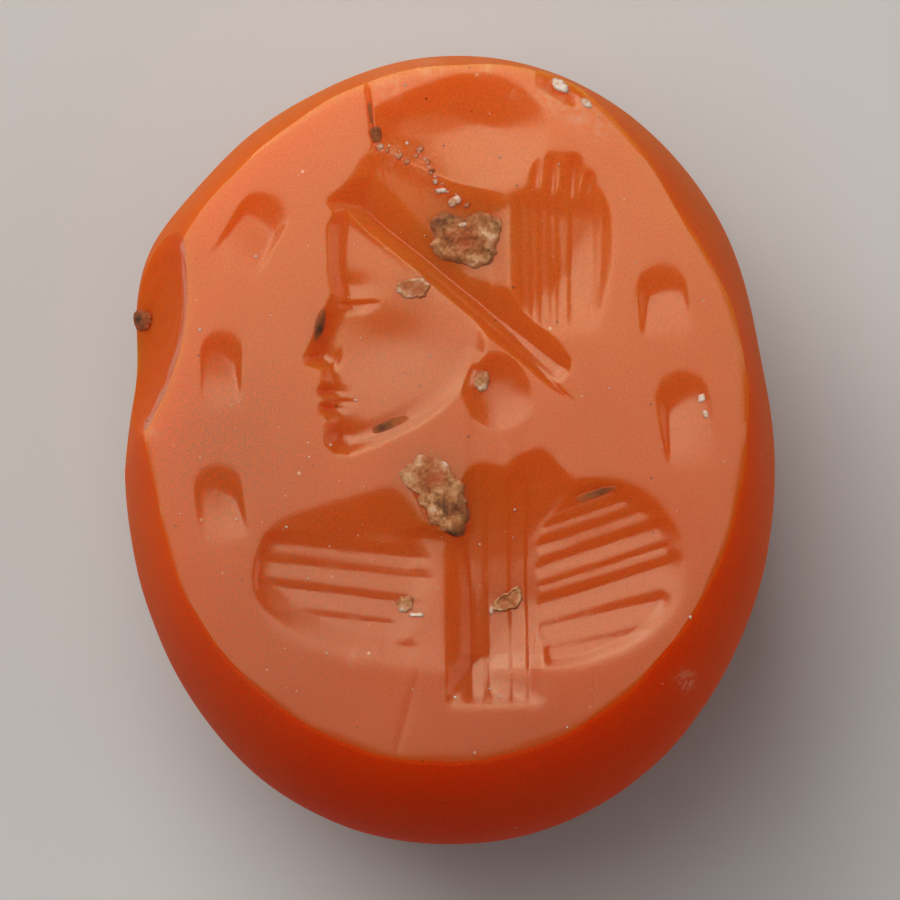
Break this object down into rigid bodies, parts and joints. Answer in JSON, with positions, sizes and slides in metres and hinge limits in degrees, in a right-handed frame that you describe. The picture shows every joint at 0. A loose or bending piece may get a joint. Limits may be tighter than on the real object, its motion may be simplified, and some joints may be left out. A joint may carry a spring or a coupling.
{
  "type": "seal stamp",
  "caption": "Domed oval stamp seal of carnelian, bored across for a cord, its flat face engraved in intaglio with a bust in profile between drilled pits.",
  "frame": {"origin": "middle of the base: the small flat on the crown of the dome, on which the stone rests with its engraved face up", "axes": "+Z out of the engraved face, +Y to the top of the bust, +X to the back of its head, so that the stone is seen as in the picture from +Z"},
  "size_m": [0.0132, 0.016, 0.01],
  "materials": {
    "carnelian": "polished, translucent orange-red chalcedony",
    "lime_crust": "matt, grainy tan lime",
    "soil": "matt, crumbly brown soil"
  },
  "bodies": {
    "root": {"carnelian_stone": "carnelian", "hair_lime": "lime_crust", "throat_lime": "lime_crust", "cheek_lime": "lime_crust", "side_lock_lime": "lime_crust", "shoulder_lime": "lime_crust", "chest_lime": "lime_crust", "crown_lime": "lime_crust", "pit_lime": "lime_crust", "rim_lime": "lime_crust", "top_knot_soil": "soil", "fold_soil": "soil", "nose_soil": "soil", "jaw_soil": "soil", "scar_soil": "soil"}
  },
  "joints": []
}
